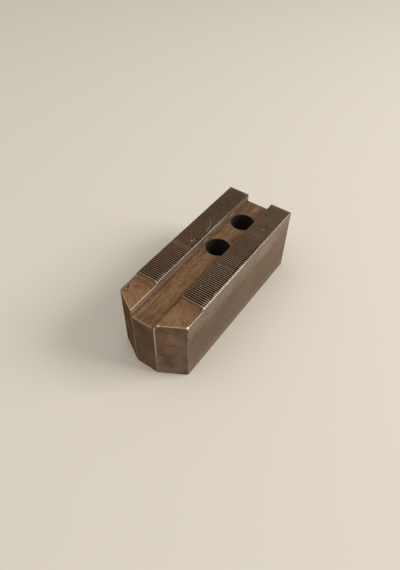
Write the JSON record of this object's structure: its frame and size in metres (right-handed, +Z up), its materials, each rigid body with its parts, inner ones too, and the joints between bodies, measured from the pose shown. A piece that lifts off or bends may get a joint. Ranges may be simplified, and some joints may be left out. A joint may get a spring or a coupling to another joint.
{
  "type": "machinable soft jaw",
  "caption": "One-piece steel soft jaw with serrated rails, a key slot, a faceted nose and counterbored bolt holes, for a lathe chuck.",
  "frame": {"origin": "centre of the bounding box at the bolt face, where the counterbores open", "axes": "+Z up to the serrated face, -Y towards the nose, X across the jaw"},
  "size_m": [0.049, 0.128, 0.049],
  "materials": {
    "machined_steel": "machined mild steel, darkened and slightly brown with storage, bright along the worn edges"
  },
  "bodies": {
    "root": {"soft_jaw": "machined_steel"}
  },
  "joints": []
}
